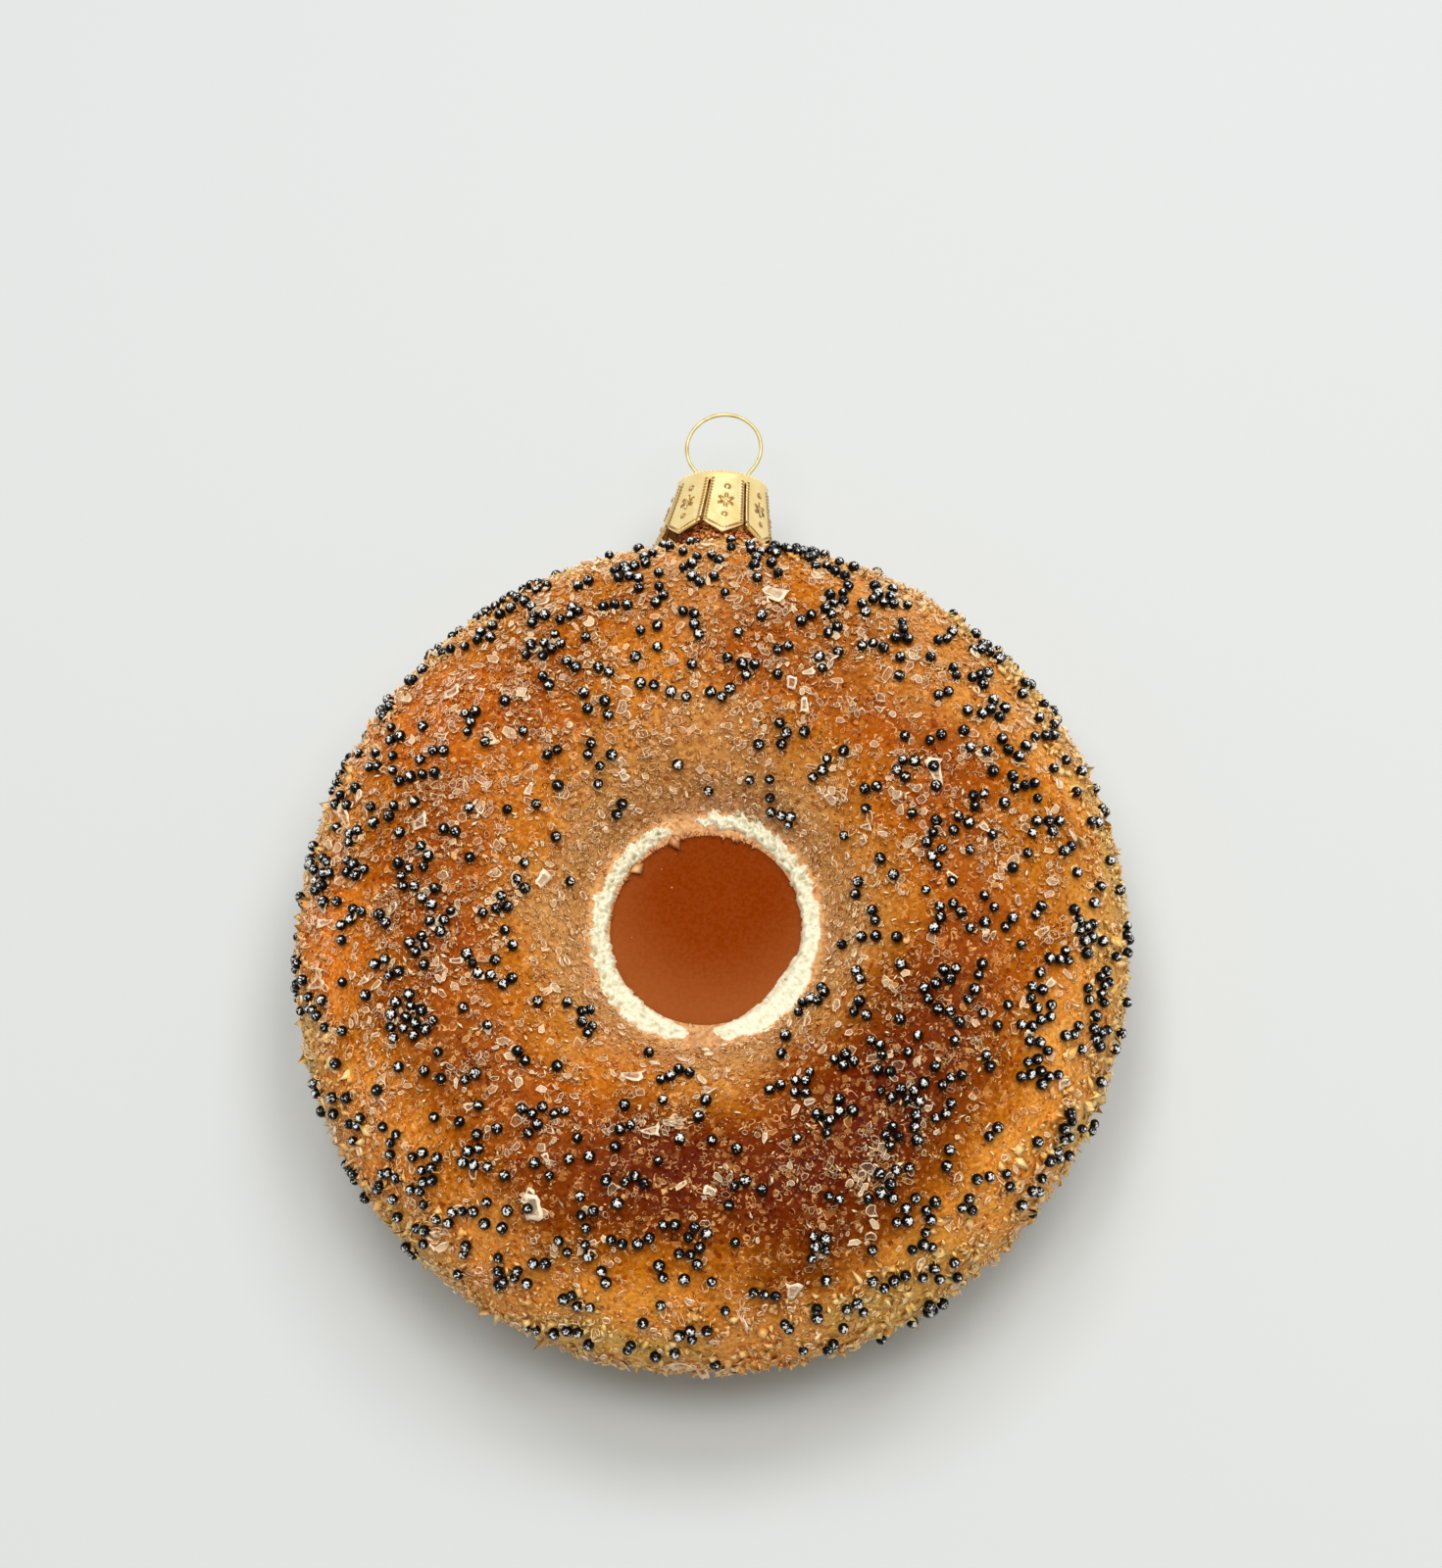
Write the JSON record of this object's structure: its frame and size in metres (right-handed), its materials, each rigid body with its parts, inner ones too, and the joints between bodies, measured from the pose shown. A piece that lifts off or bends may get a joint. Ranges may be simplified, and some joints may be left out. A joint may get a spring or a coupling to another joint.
{
  "type": "glass hanging ornament",
  "caption": "Round ring-shaped glass hanging ornament, closed in the middle, coated with crystals and seeds, with a slotted cap and a wire hanging loop.",
  "frame": {"origin": "bottom centre of the whole object's box, on the surface the ornament lies on", "axes": "+Z out of the seeded front, up as it lies; +Y towards the cap and its hanging loop; +X to the right seen from the front"},
  "size_m": [0.0836, 0.102, 0.0315],
  "materials": {
    "painted_glass": "opaque sprayed paint under a coat of clear crystals and black glass beads",
    "stamped_gold": "bright stamped sheet",
    "gold_wire": "bright drawn wire"
  },
  "bodies": {
    "root": {"glass_body": "painted_glass", "cap": "stamped_gold", "hanger_ring": "gold_wire"}
  },
  "joints": []
}
